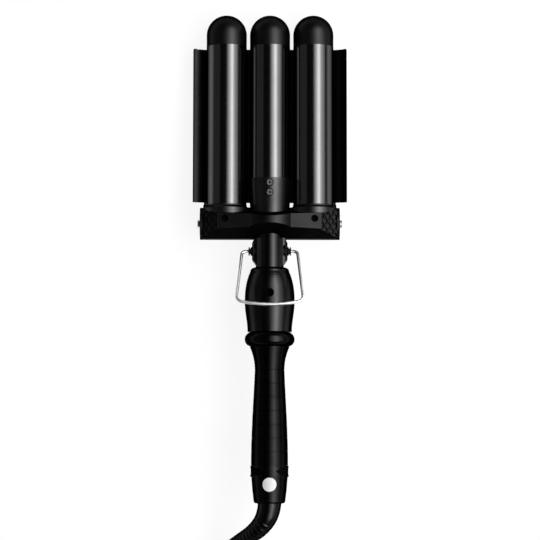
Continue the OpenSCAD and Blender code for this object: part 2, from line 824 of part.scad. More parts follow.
// Ring groove that parts a cheek's disc from the neck
module cheek_groove() {
    along_x() translate([0, 0, pad_half_w - 3.6]) difference() {
        cylinder(r = 9, h = 1.9);
        translate([0, 0, -1]) cylinder(r = 5.6, h = 4);
    }
}

// Grooved bushes that keep the wire in the neck
module stand_bushes() {
    x0 = pad_half_w - 0.55;
    color(soft_black) lay() both_sides() translate([x0, y_pivot, 0]) along_x() rotate_extrude() polygon([
        [wire_r + run, 0], [4.4, 0], [4.4, 0.5], [bush_out_r, 0.8], [bush_out_r, 1.5], [2.3, 1.7],
        [2.3, 2.3], [bush_out_r, 2.5], [bush_out_r, bush_len + 0.5], [wire_r + run, bush_len + 0.5]]);
}

// Wire stand, in its own plane: u across, v away from the pivot
shoulder_bend = 3.4;
foot_bend = 5;
bar_r = 105;                          // the crossbar is bowed outwards
leg_a = atan((stand_foot - stand_shoulder) / stand_len);
leg_dir = [sin(leg_a), cos(leg_a)];
leg_in = [-cos(leg_a), sin(leg_a)];
shoulder_c = [stand_shoulder - shoulder_bend * tan((90 - leg_a) / 2), shoulder_bend];
// centre of the foot bend: inside the leg and tangent to the crossbar's arc
bar_c = [0, stand_len - bar_r];
foot_q = [stand_shoulder, 0] + leg_in * foot_bend - bar_c;
foot_b = foot_q * leg_dir;
foot_s = -foot_b + sqrt(pow(foot_b, 2) - foot_q * foot_q + pow(bar_r - foot_bend, 2));
foot_c = [stand_shoulder, 0] + leg_in * foot_bend + leg_dir * foot_s;
bar_a = atan2(foot_c[1] - bar_c[1], foot_c[0] - bar_c[0]);
stand_half = concat(
    [[pad_half_w - 6, 0]],                // the wire's end inside the neck
    arc(shoulder_c, shoulder_bend, -90, -leg_a, 7),
    arc(foot_c, foot_bend, -leg_a, bar_a, 8),
    arc(bar_c, bar_r, bar_a + 2.4, 90, 5));
stand_line = concat(stand_half, [for (i = [len(stand_half) - 2:-1:0]) [-stand_half[i][0], stand_half[i][1]]]);

module stand_wire() {
    color(steel) lay() translate([0, y_pivot, 0]) rotate([-stand_rest, 0, 0])
        tube([for (p = stand_line) [p[0], -p[1], 0]], [for (p = stand_line) wire_r], 16);
}

// ---------------------------------------------------------------- handle

// Outline of the belly, in [radius, y], drawn in by a wall
function belly_line(inset) = concat(
    [for (i = [0:10]) let (t = i / 10)
        [belly_r - (belly_r - belly_foot_r) * ease(1 - t) - inset, y_belly + (y_widest - y_belly) * t]],
    [for (i = [1:12]) let (t = i / 12)
        [belly_r - (belly_r - shoulder_out) * pow(t, 2.5) - inset, y_widest + (y_shoulder - y_widest) * t]]);

module belly_form() {
    turned(concat([[0, y_belly]], belly_line(0),
        arc([shoulder_out - shoulder_r, y_shoulder], shoulder_r, 0, 90, 8), [[0, y_neck]]));
    rod_y(core_r, y_ring - 3, y_belly + 1);
}

module handle_hollow() {
    turned(concat([[0, y_belly + wall], [belly_foot_r - wall, y_belly + wall]],
        [for (p = belly_line(wall)) if (p[1] > y_belly + wall && p[1] < neck_flange_y - 2.5) p],
        [[neck_r + 1, neck_flange_y - 2.1], [0, neck_flange_y - 2.1]]));
    rod_y(neck_r + seat, neck_flange_y - 2.2, y_end);
    rod_y(neck_r + 2.3, neck_flange_y - 2.1, neck_flange_y + 1.1);
    rod_y(core_bore, 0, y_belly + wall + 1);
}

module handle_front_shell() {
    boss_floor = 8.5;
    color(black) lay() difference() {
        union() {
            difference() {
                belly_form();
                handle_hollow();
            }
            // screw tower inside the belly
            intersection() {
                translate([0, y_handle_screw, 0]) rod_z(5, boss_floor - 2, belly_r);
                belly_form();
            }
        }
        block([-far, -1, -far], [far, far * 2, seat / 2]);
        translate([0, y_handle_screw, 0]) {
            rod_z(3.4, boss_floor, far);
            rod_z(1.6, 0, far);
        }
    }
}

module handle_rear_shell() {
    color(black) lay() difference() {
        union() {
            difference() {
                belly_form();
                handle_hollow();
            }
            intersection() {
                translate([0, y_handle_screw, 0]) rod_z(4, -belly_r, 6.4);
                belly_form();
            }
        }
        difference() {
            block([-far, -1, -seat / 2], [far, far * 2, far]);
            translate([0, y_handle_screw, 0]) rod_z(4, -1, 6.4);
        }
        translate([0, y_handle_screw, 0]) rod_z(1.25, -8, far);
        translate([0, y_panel, -far]) linear_extrude(far - board_z + 2)
            round_rect(panel_w + 2 * seat, panel_len + 2 * seat, panel_w / 2);
    }
}

module handle_screw() {
    color(steel) lay() translate([0, y_handle_screw, 0]) difference() {
        union() {
            rod_z(3.1, 8.6, 10.4);
            rod_z(1.2, -7, 8.7);
        }
        for (turn = [0, 90]) rotate(turn) block([-1.8, -0.35, 9.6], [1.8, 0.35, 12]);
    }
}

module handle_bead() {
    color(black) lay() turned(concat(
        [[core_r + seat, y_bead + seat], [bead_out - bead_r, y_bead + seat]],
        arc([bead_out - bead_r, y_bead + bead_r], bead_r - seat, -90, 90, 20),
        [[core_r + seat, y_belly - seat]]));
}

// Radius of the grip along its length, from its lower end to the bead
function grip_radius(y) =
    let (y_waist = y_bead - 18.2, waist_r = waist_d / 2, end_r = grip_end_d / 2)
    y > y_waist ? waist_r + (15.6 - 11.6) * pow((y - y_waist) / (y_bead - y_waist), 2)
                : waist_r + (end_r - waist_r) * sin(90 * pow((y_waist - y) / (y_waist - y_grip), 1.15));

module grip() {
    steps = 30;
    groove_w = 0.7;
    groove_depth = 0.4;
    first_groove = y_bead - 18.2;
    grooves = floor((first_groove - y_grip - 8) / groove_pitch);
    color(soft_black) lay() difference() {
        turned(concat([[core_r + seat, y_grip + seat]],
            [for (i = [0:steps])
                let (y = y_grip + seat + (grip_len - 2 * seat) * i / steps) [grip_radius(y), y]],
            [[core_r + seat, y_bead - seat]]));
        for (i = [0:grooves]) let (y = first_groove - i * groove_pitch, r = grip_radius(y))
            turned([[r - groove_depth, y], [r + 1, y - groove_w], [r + 1, y + groove_w]]);
    }
}

// Ring with arrow-ended recesses on both sides
module end_ring() {
    r = end_ring_d / 2;
    recess = 0.7;
    color(black) lay() difference() {
        turned([[core_r + seat, y_ring + seat], [r - 0.5, y_ring + seat], [r, y_ring + 2], [r, y_grip - 2.2],
            [r - 0.6, y_grip - seat], [core_r + seat, y_grip - seat]]);
        both_sides() difference() {
            intersection() {
                translate([0, y_ring + end_ring_len / 2, -far / 2])
                    linear_extrude(far) polygon([[4.6, 0], [8.4, 2.9], [far, 2.9], [far, -2.9], [8.4, -2.9]]);
                rod_y(r + 1, y_ring, y_grip);
            }
            rod_y(r - recess, y_ring - 1, y_grip + 1);
        }
    }
}

module end_cap() {
    ring_seat = 12;
    color(black) lay() difference() {
        turned(concat([[0, 0]], arc([cap_tip_r - cap_round, cap_round], cap_round, -90, 0, 6),
            [[13.4, 10.4], [cap_top_r, y_ring - seat], [0, y_ring - seat]]));
        rod_y(mouth_r, -1, 4);
        rod_y(cap_tip_r - 1.4, 2.8, ring_seat);
        rod_y(cap_top_r - wall - 0.6, ring_seat - 0.1, y_ring + 1);
    }
}

// Round foil sticker with nothing printed on it
module blank_sticker() {
    sticker_r = 5.4;
    foil = 0.15;
    y = 14.8;
    color("silver") lay() intersection() {
        translate([0, y, 0]) rod_z(sticker_r, 8, 20);
        difference() {
            turned([[0, 8], [13.18 + foil, 8], [cap_top_r + foil + 0.03, y_ring], [0, y_ring]]);
            turned([[0, 7], [13.16, 7.4], [13.43, 10.4], [cap_top_r + 0.03, y_ring + 0.2], [0, y_ring + 1]]);
        }
    }
}

// Bearing ring in the end cap, clipped round the cord swivel
module swivel_bearing() {
    color("dimgray") lay() difference() {
        rod_y(cap_top_r - wall - 0.7, 12.05, y_ring - 3.1);
        rod_y(5.9 + run, 11, y_ring);
    }
}

// ---------------------------------------------------------------- controls

module control_panel() {
    color(gloss_black) lay() translate([0, y_panel, 0]) {
        difference() {
            translate([0, 0, -panel_z]) linear_extrude(panel_z - panel_back)
                round_rect(panel_w, panel_len, panel_w / 2 - 0.01);
            translate([0, y_window - y_panel, -panel_z - 1]) linear_extrude(2) round_rect(10.2, 6.8, 0.8);
            translate([0, y_window - y_panel, -panel_z]) linear_extrude(8) round_rect(8.4, 5, 0.6);
            for (x = [-pair_x, pair_x]) translate([x, y_pair - y_panel, 0])
                rod_z(small_button_r + play, -far, 0);
            translate([0, y_power - y_panel, 0]) rod_z(power_button_r + play, -far, 0);
        }
        // pegs that the circuit board stands on
        for (x = [-pair_x, pair_x]) translate([x, y_peg - y_panel, 0])
            rod_z(0.9, -panel_back - 0.1, -board_z - 0.02);
    }
}

module display_window() {
    color([0.1, 0.12, 0.13, 0.8]) lay() translate([0, y_window, -panel_z + 0.15]) linear_extrude(0.8)
        round_rect(10, 6.6, 0.7);
}

// Board with the display's module on it
module circuit_board() {
    board_half = sqrt(pow(belly_foot_r - wall, 2) - pow(board_z, 2)) - 0.7;
    board_len = 22;
    color("darkgreen") lay() {
        translate([0, y_panel - 1, -board_z]) linear_extrude(board_t)
            square([2 * board_half, board_len], center = true);
        translate([0, y_window, -panel_back + seat]) linear_extrude(panel_back - board_z)
            square([9, 5.6], center = true);
    }
}

// Button with a collar that keeps it behind the panel
module button(x, y, r) {
    translate([x, y, 0]) {
        rod_z(r, -panel_z - button_proud, -panel_back + 0.1);
        rod_z(r + 0.7, -panel_back + 0.1, -panel_back + 0.9);
    }
}

module power_button() {
    color("dimgray") lay() difference() {
        button(0, y_power, power_button_r);
        // power sign: a ring open at one side, with a bar in the gap
        translate([0, y_power, -panel_z - button_proud - 0.01]) linear_extrude(0.26) {
            ring_sector(1.1, 1.5, -50, 230);
            translate([-0.2, -1.9]) square([0.4, 1.5]);
        }
    }
}

module plus_button() {
    color("dimgray") lay() difference() {
        button(-pair_x, y_pair, small_button_r);
        translate([-pair_x, y_pair, -panel_z - button_proud - 0.01]) linear_extrude(0.26) {
            square([2.6, 0.5], center = true);
            square([0.5, 2.6], center = true);
        }
    }
}

module minus_button() {
    color("dimgray") lay() difference() {
        button(pair_x, y_pair, small_button_r);
        translate([pair_x, y_pair, -panel_z - button_proud - 0.01]) linear_extrude(0.26)
            square([2.6, 0.5], center = true);
    }
}

// ---------------------------------------------------------------- cord

// Hub that turns in the end cap's bearing and carries the strain relief
module swivel_core() {
    color("dimgray") lay() difference() {
        union() {
            rod_y(cap_tip_r - 1.8, 3.4, 6.2);
            rod_y(5.9, 6.1, y_ring - 1.6);
            rod_y(7, y_ring - 2.8, y_ring - 1.6);
        }
        rod_y(cord_d / 2, 0, y_ring + 1);
    }
}

// Ribbed strain relief: the ribs get narrower towards the lead
module strain_relief() {
    n = len(relief_route);
    fine = [for (i = [0:n - 2], k = [0:2]) spline(relief_route, i, k / 3)];
    path = concat(fine, [relief_route[n - 1]]);
    m = len(path) - 1;
    radii = [for (i = [0:m]) let (t = i / m)
        (i < 11 ? relief_d / 2 - 0.7 * i / 11 : relief_d / 2 - 0.7 - 4.1 * (i - 11) / (m - 11))
        - (i > 11 && i < m && i % 3 == 0 ? 1.1 : 0)];
    color(black) tube(path, radii, 12);
}

// Point between i and i + 1 on a smooth curve through a route
function spline(p, i, t) =
    let (a = p[max(i - 1, 0)], b = p[i], c = p[i + 1], d = p[min(i + 2, len(p) - 1)])
    0.5 * (2 * b + (c - a) * t + (2 * a - 5 * b + 4 * c - d) * t * t + (3 * b - a - 3 * c + d) * t * t * t);

module power_cord() {
    color(black) tube(cord_route, [for (p = cord_route) cord_d / 2], 10);
}

module cord_tail() {
    color(black) tube(tail_route, [for (p = tail_route) cord_d / 2], 10);
}

// Outer shape of the wound lead
module cord_coil() {
    color(black) translate([coil_x, coil_y, coil_base + coil_half]) rotate_extrude()
        translate([coil_r, 0]) round_rect(2 * coil_half, 2 * coil_half, cord_d / 2);
}

// Strap round the coil
module cord_tie() {
    half = coil_half + seat;
    width = 9;
    color("dimgray") translate([coil_x, coil_y - coil_r, coil_base + coil_half]) difference() {
        block([-width / 2, -half - tie_t, -half - tie_t + seat], [width / 2, half + tie_t, half + tie_t]);
        translate([0, coil_r, 0]) rotate_extrude() translate([coil_r - half, -half]) square(2 * half);
    }
}

// Flat two-pin plug, lying on the coil
module plug_body() {
    color(black) translate([plug_x, plug_y, plug_z]) rotate([0, -90, 0]) {
        translate([0, 0, -0.01]) cylinder(r1 = 4.6, r2 = 6.2, h = 9);
        difference() {
            translate([0, 0, 8.9]) linear_extrude(plug_len - 9) round_rect(plug_t, plug_w, 6);
            for (side = [-1, 1]) translate([0, side * pin_gap / 2, plug_len - pin_root])
                cylinder(r = pin_root_r + 0.02, h = 2 * pin_root);
        }
    }
}

module plug_pins() {
    color(steel) translate([plug_x, plug_y, plug_z]) rotate([0, -90, 0])
        for (side = [-1, 1]) translate([0, side * pin_gap / 2, plug_len]) {
            translate([0, 0, seat - pin_root]) cylinder(r = pin_root_r, h = pin_root - seat);
            translate([0, 0, -1]) cylinder(r = pin_r, h = 1 + pin_len - pin_r);
            translate([0, 0, pin_len - pin_r]) sphere(pin_r);
        }
}

// ---------------------------------------------------------------- nodes

module barrel_left() { color(gloss_black) lay() barrel(-1); }
module barrel_middle() { color(gloss_black) lay() barrel(0); }
module barrel_right() { color(gloss_black) lay() barrel(1); }
module tip_left() { color(soft_black) lay() tip(-1); }
module tip_middle() { color(soft_black) lay() tip(0); }
module tip_right() { color(soft_black) lay() tip(1); }
module heater_left() { color(aluminium) lay() heater(-1); }
module heater_middle() { color(aluminium) lay() heater(0); }
module heater_right() { color(aluminium) lay() heater(1); }
module collar_left() { color(black) lay() collar(-1); }
module collar_middle() { color(black) lay() collar(0); }
module collar_right() { color(black) lay() collar(1); }

barrel_left();
barrel_middle();
barrel_right();
tip_left();
tip_middle();
tip_right();
heater_left();
heater_middle();
heater_right();
collar_left();
collar_middle();
collar_right();
collar_screws();
head_front_shell();
head_rear_shell();
head_screws();
hinge_screws();
clamp_springs();
clamp_plate();
clamp_arm();
thumb_lever();
clamp_screws();
hinge_bushes();
neck();
stand_bushes();
stand_wire();
handle_front_shell();
handle_rear_shell();
handle_screw();
handle_bead();
grip();
end_ring();
end_cap();
blank_sticker();
swivel_bearing();
control_panel();
display_window();
circuit_board();
power_button();
plus_button();
minus_button();
swivel_core();
strain_relief();
power_cord();
cord_coil();
cord_tail();
cord_tie();
plug_body();
plug_pins();
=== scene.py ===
"""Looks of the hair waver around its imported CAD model: camera, light, materials and fine pieces."""

import math

import bmesh
import bpy
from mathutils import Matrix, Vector


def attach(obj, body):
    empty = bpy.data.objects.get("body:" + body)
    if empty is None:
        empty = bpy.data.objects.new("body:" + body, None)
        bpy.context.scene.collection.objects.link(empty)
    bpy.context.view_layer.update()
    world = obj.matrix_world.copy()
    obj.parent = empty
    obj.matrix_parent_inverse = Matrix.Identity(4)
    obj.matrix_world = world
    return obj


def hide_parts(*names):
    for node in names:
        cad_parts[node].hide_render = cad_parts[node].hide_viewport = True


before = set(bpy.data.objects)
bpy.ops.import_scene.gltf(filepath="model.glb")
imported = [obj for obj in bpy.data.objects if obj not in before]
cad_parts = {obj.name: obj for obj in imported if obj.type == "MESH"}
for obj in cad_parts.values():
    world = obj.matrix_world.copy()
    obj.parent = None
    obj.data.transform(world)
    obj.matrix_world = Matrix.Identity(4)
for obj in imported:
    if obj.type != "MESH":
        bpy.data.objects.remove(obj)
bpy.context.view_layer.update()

# Lengths are in mm and in the tool's own straight coordinates, unless a comment says otherwise:
# x across, y from the end cap towards the tips, z from the axis towards the viewer.
MM = 0.001                        # metres
TILT = math.radians(5.0)          # how far the tool slopes down to its tips as it lies
LIFT = 49.46323                   # height of the tool's own origin above the table
MIDDLE = 191.49034                # middle of the tool along its length as it lies


# ---------------------------------------------------------------- helpers

def place(x, y, z):
    """A point of the tool's own coordinates in the row frame, in metres."""
    c, s = math.cos(TILT), math.sin(TILT)
    return Vector((x, y * c + z * s - MIDDLE, LIFT - y * s + z * c)) * MM


def show(obj):
    """Put an object in the scene."""
    bpy.context.scene.collection.objects.link(obj)
    return obj


def dress(obj, material, body, replaces=()):
    """Give a piece its material, the body that it rides on and the CAD nodes that it stands for."""
    obj.data.materials.clear()
    obj.data.materials.append(material)
    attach(obj, body)
    if replaces:
        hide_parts(*replaces)
    return obj


def mesh_piece(name, verts, faces, material, body, replaces=(), sharp=35, smooth=True):
    """A mesh whose edges are sharp where its faces turn by more than sharp degrees."""
    merge = 1e-7
    mesh = bpy.data.meshes.new(name)
    mesh.from_pydata([tuple(v) for v in verts], [], faces)
    bm = bmesh.new()
    bm.from_mesh(mesh)
    bmesh.ops.remove_doubles(bm, verts=bm.verts, dist=merge)
    bmesh.ops.recalc_face_normals(bm, faces=bm.faces)
    for face in bm.faces:
        face.smooth = smooth
    for edge in bm.edges:
        if len(edge.link_faces) == 2 and edge.calc_face_angle(0) > math.radians(sharp):
            edge.smooth = False
    bm.to_mesh(mesh)
    bm.free()
    return dress(show(bpy.data.objects.new(name, mesh)), material, body, replaces)


def curve_piece(name, points, radius, material, body, replaces, sides):
    """A round wire or cord along points, in metres."""
    curve = bpy.data.curves.new(name, "CURVE")
    curve.dimensions = "3D"
    curve.bevel_depth = radius
    curve.bevel_resolution = sides
    curve.use_fill_caps = True
    spline = curve.splines.new("POLY")
    spline.points.add(len(points) - 1)
    for p, co in zip(spline.points, points):
        p.co = (*co, 1)
    spline.use_smooth = True
    return dress(show(bpy.data.objects.new(name, curve)), material, body, replaces)


def loft_tube(name, points, radii, material, body, replaces, sides=48, sharp=40):
    """A closed tube of changing radius along points, in metres."""
    verts, faces = [], []
    start_hint = Vector((0.3, 0.2, 1))    # any direction that the tube doesn't take
    side = None
    n = len(points)
    for i, p in enumerate(points):
        d = (points[min(i + 1, n - 1)] - points[max(i - 1, 0)]).normalized()
        if side is None:
            side = d.cross(start_hint).normalized()
        side = (side - side.dot(d) * d).normalized()
        other = d.cross(side)
        for k in range(sides):
            a = 2 * math.pi * k / sides
            verts.append(p + radii[i] * (math.cos(a) * side + math.sin(a) * other))
    for i in range(n - 1):
        for k in range(sides):
            j = (k + 1) % sides
            faces.append((i * sides + k, i * sides + j, (i + 1) * sides + j, (i + 1) * sides + k))
    faces.append(tuple(range(sides)))
    faces.append(tuple((n - 1) * sides + k for k in reversed(range(sides))))
    return mesh_piece(name, verts, faces, material, body, replaces, sharp)


def through(route, steps):
    """Points on a smooth curve through a route."""
    out = []
    last = len(route) - 1
    for i in range(last):
        a, b, c, d = (Vector(route[max(0, min(j, last))]) for j in (i - 1, i, i + 1, i + 2))
        for k in range(steps):
            t = k / steps
            out.append(0.5 * (2 * b + (c - a) * t + (2 * a - 5 * b + 4 * c - d) * t * t
                              + (3 * b - a - 3 * c + d) * t ** 3))
    return out + [Vector(route[-1])]


def arc(cx, cy, r, a0, a1, n):
    """Points of an arc between two angles in degrees."""
    angles = [math.radians(a0 + (a1 - a0) * i / n) for i in range(n + 1)]
    return [(cx + r * math.cos(a), cy + r * math.sin(a)) for a in angles]


def ease(t):
    """A smooth step from 0 to 1."""
    t = max(0.0, min(1.0, t))
    return t * t * (3 - 2 * t)


# ---------------------------------------------------------------- camera

CAMERA_AT = (0.0002, -0.00984, 1.5235)    # metres; it looks straight down
CAMERA_TURN = 0.076                       # degrees about the vertical
SENSOR, LENS = 36.0, 126.25
CLIP = (0.05, 50)                         # metres

cam_data = bpy.data.cameras.new("camera")
cam_data.sensor_width, cam_data.lens = SENSOR, LENS
cam_data.clip_start, cam_data.clip_end = CLIP
cam = show(bpy.data.objects.new("camera", cam_data))
cam.location = CAMERA_AT
cam.rotation_euler = (0, 0, math.radians(CAMERA_TURN))
bpy.context.scene.camera = cam


# ---------------------------------------------------------------- materials

BLOT_SCALE, BLOT_DETAIL = 60.0, 4         # the colour's soft blots
WEAR_SCALE, WEAR_DETAIL = 2.3, 5          # uneven gloss, its scale against the blots'
GRAIN_DETAIL, GRAIN_DEPTH = 3, 0.0002     # fine relief, its depth in metres


def set_ramp(ramp, stops):
    """Give a colour ramp's two stops as (position, colour)."""
    for element, (position, color) in zip(ramp.color_ramp.elements, stops):
        element.position, element.color = position, color


def shader(name, color, rough, metal=0.0, edge=1.0, rough_var=0.05, bump=0.02, bump_scale=1500.0,
           mottle=0.15):
    """Principled surface with a mottled colour, uneven roughness and a fine grain."""
    m = bpy.data.materials.new(name)
    m.use_nodes = True
    nt = m.node_tree
    b = nt.nodes["Principled BSDF"]
    b.inputs["Metallic"].default_value = metal
    b.inputs["Specular Tint"].default_value = (edge, edge, edge, 1)
    tc = nt.nodes.new("ShaderNodeTexCoord")

    def noise(scale, detail):
        n = nt.nodes.new("ShaderNodeTexNoise")
        n.inputs["Scale"].default_value = scale
        n.inputs["Detail"].default_value = detail
        nt.links.new(tc.outputs["Object"], n.inputs["Vector"])
        return n.outputs["Fac"]

    ramp = nt.nodes.new("ShaderNodeValToRGB")
    set_ramp(ramp, ((0.3, [c * (1 - mottle) for c in color] + [1]),
                    (0.7, [min(1, c * (1 + mottle)) for c in color] + [1])))
    nt.links.new(noise(BLOT_SCALE, BLOT_DETAIL), ramp.inputs["Fac"])
    nt.links.new(ramp.outputs["Color"], b.inputs["Base Color"])
    spread = nt.nodes.new("ShaderNodeMapRange")
    spread.inputs["To Min"].default_value = max(0.0, rough - rough_var)
    spread.inputs["To Max"].default_value = min(1.0, rough + rough_var)
    nt.links.new(noise(BLOT_SCALE * WEAR_SCALE, WEAR_DETAIL), spread.inputs["Value"])
    nt.links.new(spread.outputs["Result"], b.inputs["Roughness"])
    if bump:
        bp = nt.nodes.new("ShaderNodeBump")
        bp.inputs["Strength"].default_value = bump
        bp.inputs["Distance"].default_value = GRAIN_DEPTH
        nt.links.new(noise(bump_scale, GRAIN_DETAIL), bp.inputs["Height"])
        nt.links.new(bp.outputs["Normal"], b.inputs["Normal"])
    return m


def black(name, level, blue, rough, edge=0.05, **grain):
    """Black surface made as a dark metal: its low edge tint keeps it from mirroring at its rims."""
    return shader(name, (level, level, blue), rough, metal=1.0, edge=edge, **grain)


M = {
    "ceramic": black("black_ceramic", 0.1, 0.101, 0.15, edge=0.0, rough_var=0.02, bump=0.004,
                     mottle=0.04),
    "plate": black("plate_coating", 0.007, 0.0071, 0.22, edge=0.0, rough_var=0.03, bump=0.006),
    "tip": black("tip_matte", 0.023, 0.0232, 0.38, bump=0.05),
    "head": black("head_satin", 0.02, 0.0202, 0.36, bump=0.05),
    "collar": black("collar_satin", 0.044, 0.0442, 0.31, bump=0.03),
    # painted shade: near-black for the thin films laid in recesses and gaps where shade falls
    "recess": black("recess_black", 0.003, 0.003, 0.6, edge=0.0),
    "belly": black("belly_satin", 0.026, 0.0262, 0.24),
    "bead": black("bead_satin", 0.012, 0.0121, 0.22, edge=0.0),
    "grip": black("soft_touch", 0.009, 0.0091, 0.25, edge=0.15, bump=0.05),
    "collar_screw": black("collar_screw", 0.13, 0.132, 0.45),
    # painted shade: screws deep in holes are near-black to stand for the holes' shade
    "painted_hole_shade": black("painted_hole_shade", 0.003, 0.003, 0.5, edge=0.0),
    "dark_steel": black("black_screw", 0.02, 0.0202, 0.35),
    "steel": shader("plain_steel", (0.6, 0.6, 0.61), 0.25, metal=1.0),
    "chrome": shader("drawn_wire", (0.85, 0.85, 0.86), 0.4, metal=1.0, bump=0.01),
    "bronze": shader("bronze", (0.62, 0.42, 0.2), 0.35, metal=1.0),
    "grey": shader("grey_plastic", (0.03, 0.03, 0.031), 0.45),
    "foil": shader("silver_foil", (0.56, 0.56, 0.57), 0.6, metal=0.1, bump=0.05, bump_scale=400,
                   mottle=0.05),
    "panel": shader("panel_gloss", (0.002, 0.002, 0.002), 0.08, bump=0.003),
    "window": shader("window_smoke", (0.012, 0.014, 0.016), 0.04, bump=0.0),
    "board": shader("board", (0.02, 0.12, 0.05), 0.3),
    "heater": shader("heater_metal", (0.6, 0.6, 0.61), 0.4, metal=1.0),
    "cap": black("cap_satin", 0.012, 0.0121, 0.26),
    "boot": black("boot_rubber", 0.02, 0.0202, 0.26, bump=0.03),
    "cord": black("lead_sheath", 0.012, 0.0121, 0.32, bump=0.03),
    "plug": shader("plug_plastic", (0.004, 0.004, 0.0042), 0.3),
    "pin": shader("pin_metal", (0.7, 0.64, 0.48), 0.25, metal=1.0),
}

# A name that ends with an underscore stands for all nodes that start so and aren't named here.
NODE_LOOK = {
    "barrel_": "ceramic", "tip_": "tip", "heater_": "heater",
    "collar_": "collar", "collar_screws": "collar_screw",
    # head_screws and handle_screw carry the painted shade of their deep holes
    "head_": "head", "head_screws": "painted_hole_shade", "hinge_screws": "steel", "hinge_bushes": "bronze",
    "clamp_plate": "plate", "clamp_arm": "head", "clamp_screws": "steel", "clamp_springs": "steel",
    "thumb_lever": "belly",
    "neck": "belly", "stand_bushes": "dark_steel", "stand_wire": "chrome",
    "handle_": "belly", "handle_screw": "painted_hole_shade", "handle_bead": "bead", "grip": "grip",
    "end_ring": "cap", "end_cap": "cap", "blank_sticker": "foil",
    "control_panel": "panel", "display_window": "window", "circuit_board": "board",
    "power_button": "grey", "plus_button": "grey", "minus_button": "grey",
    "swivel_bearing": "grey", "swivel_core": "grey", "strain_relief": "cord",
    "power_cord": "cord", "cord_": "cord", "plug_body": "plug", "plug_pins": "pin",
}
for node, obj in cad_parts.items():
    look = NODE_LOOK.get(node) or next(v for k, v in NODE_LOOK.items()
                                       if k.endswith("_") and node.startswith(k))
    obj.data.materials.clear()
    obj.data.materials.append(M[look])


# ---------------------------------------------------------------- lead, in the row frame

BOOT_ROUTE = [
    (0, -188.4, 49.3), (0, -192, 49.6), (-0.6, -196.5, 49.7), (-2.2, -201.7, 49.3),
    (-4.8, -206.6, 48.2), (-8, -210.8, 46.3), (-11.4, -214.2, 43.9), (-15, -217.2, 41),
    (-18.9, -219.9, 37.7), (-23, -222.7, 34.1), (-27, -225.4, 30.5), (-31, -228.1, 27),
]
LEAD_ROUTE = [
    (-35, -231, 23.3), (-39.2, -234.4, 19.2), (-43.6, -238.6, 14.8), (-47.8, -243.6, 10.7),
    (-51.5, -249.6, 7.5), (-54.4, -256.6, 5.5), (-56.3, -264.8, 4.6), (-57, -273.8, 4.4),
]
LEAD_D = 7.0
LEAD_STEPS, LEAD_SIDES = 3, 6
COIL = (-8.0, -283.0)
COIL_R = 42.0                     # of its middle turns
COIL_BASE = 0.9                   # its lowest point above the table
COIL_FROM, COIL_TO, COIL_STEP = 180, 2897, 8    # degrees
STEP_TURN, TOP_TURN = 58, 70      # degrees that a turn takes to step aside or up
LAST_SHIFT = 3.0                  # how far the last turn swings out to the plug
PLUG_END = (8.0, -250.0, 29.1)    # where the lead enters its plug, heading -X
TAIL_R = 28.0
TAIL_FROM, TAIL_TO, TAIL_STEP = 22, 90, 6       # degrees
RISE_FROM = 16                    # degrees at which the tail starts to rise


def coil_points():
    """Turns lie across and up: each steps beside or over the last, and the end climbs over them."""
    inner, middle, outer = COIL_R - LEAD_D, COIL_R, COIL_R + LEAD_D
    # angle at which a step ends, the turn that it takes, radius and level after it
    steps = [
        (180, STEP_TURN, outer, 0), (540, STEP_TURN, middle, 0), (900, STEP_TURN, inner, 0),
        (1210, STEP_TURN, inner, 1), (1520, STEP_TURN, middle, 1), (1880, STEP_TURN, outer, 1),
        (2190, STEP_TURN, outer, 2), (2500, STEP_TURN, middle, 2),
        (2845, TOP_TURN, middle, 3), (2890, STEP_TURN, middle + LAST_SHIFT, 3),
    ]
    points = []
    for a in range(COIL_FROM, COIL_TO, COIL_STEP):
        r, level = steps[0][2:]
        for angle, turn, r1, level1 in steps[1:]:
            t = ease((a - angle + turn) / turn)
            r, level = r + (r1 - r) * t, level + (level1 - level) * t
        c, s = math.cos(math.radians(a)), math.sin(math.radians(a))
        points.append(Vector((COIL[0] + r * c, COIL[1] + r * s,
                              COIL_BASE + LEAD_D / 2 + LEAD_D * level)))
    return points


def tail_points(z0):
    """Quarter turn from the coil's top to the plug."""
    x, y, z1 = PLUG_END
    out = []
    for a in range(TAIL_FROM, TAIL_TO + 1, TAIL_STEP):
        c, s = math.cos(math.radians(a)), math.sin(math.radians(a))
        up = ease((a - RISE_FROM) / (TAIL_TO - RISE_FROM))
        out.append(Vector((x + TAIL_R * c, y - TAIL_R + TAIL_R * s, z0 + (z1 - z0) * up)))
    return out[:-1] + [Vector(PLUG_END)]


coil = coil_points()
lead = through(BOOT_ROUTE + LEAD_ROUTE, LEAD_STEPS) + coil[1:] + tail_points(coil[-1].z)
lead = [p * MM for p in lead]
lead_piece = curve_piece("lead", lead, LEAD_D / 2 * MM, M["cord"], "cord",
                         ("power_cord", "cord_coil", "cord_tail"), LEAD_SIDES)

# strain relief: a smooth root, then a ribbed cone
BOOT_D = 18.8
BOOT_STEPS = 16
ROOT_SHARE, ROOT_TAPER = 0.2, 0.6    # the root's share of the length, and what its radius loses
CONE_TAPER = 4.1                     # what the radius loses after it
RIB_FROM, RIB_CLEAR = 17, 1.5        # ribs start this far along and end this far from the end
RIB_PITCH, RIB_PHASE = 3.9, 19
RIB_DEPTH, RIB_FLAT = 0.35, 2.2      # depth of a groove; a higher flat makes the ribs wider


def boot_radii(points):
    """Radius at each point of the strain relief."""
    total = sum((b - a).length for a, b in zip(points, points[1:]))
    run, out = 0.0, []
    for i, p in enumerate(points):
        if i:
            run += (p - points[i - 1]).length
        t = run / total
        base = (BOOT_D / 2 - ROOT_TAPER * min(1, t / ROOT_SHARE)
                - CONE_TAPER * max(0, (t - ROOT_SHARE) / (1 - ROOT_SHARE)))
        rib = 0.5 + 0.5 * math.cos(2 * math.pi * (run - RIB_PHASE) / RIB_PITCH)
        ribbed = RIB_FROM < run < total - RIB_CLEAR
        out.append(base - RIB_DEPTH * (1 - ease(rib * RIB_FLAT)) * ribbed)
    return out


